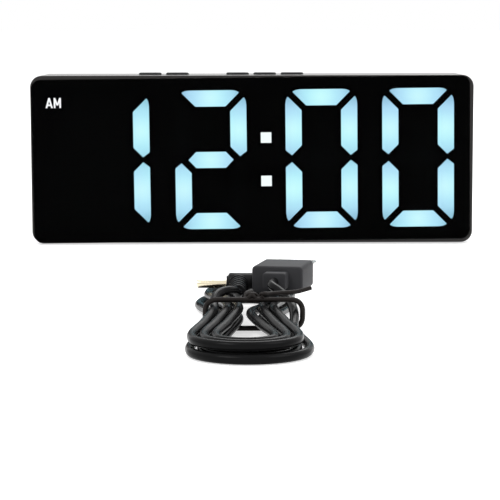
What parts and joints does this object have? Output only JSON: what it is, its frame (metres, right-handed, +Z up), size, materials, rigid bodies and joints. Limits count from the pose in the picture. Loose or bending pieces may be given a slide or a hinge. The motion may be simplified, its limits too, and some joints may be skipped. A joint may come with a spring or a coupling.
{
  "type": "digital alarm clock",
  "caption": "Low, wide digital alarm clock with a smoked front panel, a lit seven-segment display, top buttons, a hinged battery door and its tied power cord.",
  "frame": {"origin": "On the surface that the clock stands on, under the middle of the clock's own box without the cord.", "axes": "+X runs along the width to the right of the display as read, +Y from the display to the back, +Z up."},
  "size_m": [0.165, 0.2895, 0.0637],
  "materials": {
    "case_grey": "satin",
    "smoked_lens": "gloss",
    "mask_black": "matt",
    "segment_lit": "matt",
    "mark_lit": "matt",
    "segment_unlit": "matt",
    "white_plastic": "satin",
    "board_green": "satin",
    "button_black": "satin",
    "screw_steel": "bright",
    "contact_steel": "bright",
    "foot_rubber": "matt",
    "cell_can": "gloss",
    "lead_red": "satin",
    "lead_black": "satin",
    "inner_black": "matt",
    "cord_black": "satin",
    "tie_black": "matt",
    "overmould_grey": "matt",
    "plug_steel": "bright",
    "plug_black": "satin",
    "barrel_nickel": "bright"
  },
  "bodies": {
    "clock": {"front_case": "case_grey", "rear_cover": "case_grey", "front_lens": "smoked_lens", "lens_tape": "mask_black", "display_mask": "mask_black", "light_box": "white_plastic", "led_board": "board_green", "hour_tens_diffuser": "segment_lit", "hour_units_diffuser": "segment_lit", "minute_tens_diffuser": "segment_lit", "minute_units_diffuser": "segment_lit", "hour_units_segment_c": "segment_unlit", "hour_units_segment_f": "segment_unlit", "minute_tens_segment_g": "segment_unlit", "minute_units_segment_g": "segment_unlit", "colon_diffuser": "segment_lit", "am_diffuser": "mark_lit", "key_board": "board_green", "key_ribbon": "white_plastic", "case_screw_top_left": "screw_steel", "case_screw_top_right": "screw_steel", "case_screw_bottom_left": "screw_steel", "case_screw_bottom_right": "screw_steel", "foot_front_left": "foot_rubber", "foot_front_right": "foot_rubber", "foot_rear_left": "foot_rubber", "foot_rear_right": "foot_rubber", "battery_cell_1": "cell_can", "battery_cell_2": "cell_can", "battery_cell_3": "cell_can", "contact_negative": "contact_steel", "contact_bridge_right": "contact_steel", "contact_bridge_left": "contact_steel", "contact_positive": "contact_steel", "dc_jack": "inner_black", "buzzer": "inner_black", "battery_lead_red": "lead_red", "battery_lead_black": "lead_black", "jack_lead": "lead_red", "buzzer_lead": "lead_black", "cable_hank": "cord_black", "cable_tail_usb": "cord_black", "cable_tail_dc": "cord_black", "cable_tie": "tie_black", "usb_plug_body": "overmould_grey", "usb_plug_shell": "plug_steel", "usb_plug_tongue": "white_plastic", "dc_plug_body": "plug_black", "dc_plug_barrel": "barrel_nickel"},
    "alarm_key": {"alarm_button": "button_black", "alarm_switch_plunger": "white_plastic"},
    "snooze_key": {"snooze_button": "button_black", "snooze_switch_plunger": "white_plastic"},
    "set_key": {"set_button": "button_black", "set_switch_plunger": "white_plastic"},
    "up_key": {"up_button": "button_black", "up_switch_plunger": "white_plastic"},
    "down_key": {"down_button": "button_black", "down_switch_plunger": "white_plastic"},
    "battery_door": {"battery_door": "case_grey"}
  },
  "joints": [
    {"name": "alarm_key_press", "type": "slide", "parent": "clock", "child": "alarm_key", "axis": [0, 0, -1], "range_m": [0, 0.0005], "stiffness_N_per_m": 200, "springref_m": -0.002},
    {"name": "snooze_key_press", "type": "slide", "parent": "clock", "child": "snooze_key", "axis": [0, 0, -1], "range_m": [0, 0.0005], "stiffness_N_per_m": 200, "springref_m": -0.002},
    {"name": "set_key_press", "type": "slide", "parent": "clock", "child": "set_key", "axis": [0, 0, -1], "range_m": [0, 0.0005], "stiffness_N_per_m": 200, "springref_m": -0.002},
    {"name": "up_key_press", "type": "slide", "parent": "clock", "child": "up_key", "axis": [0, 0, -1], "range_m": [0, 0.0005], "stiffness_N_per_m": 200, "springref_m": -0.002},
    {"name": "down_key_press", "type": "slide", "parent": "clock", "child": "down_key", "axis": [0, 0, -1], "range_m": [0, 0.0005], "stiffness_N_per_m": 200, "springref_m": -0.002},
    {"name": "battery_door_hinge", "type": "hinge", "parent": "clock", "child": "battery_door", "pos_m": [0, 0.01533, 0.00895], "axis": [-1, 0, 0], "range_deg": [0, 95]}
  ]
}
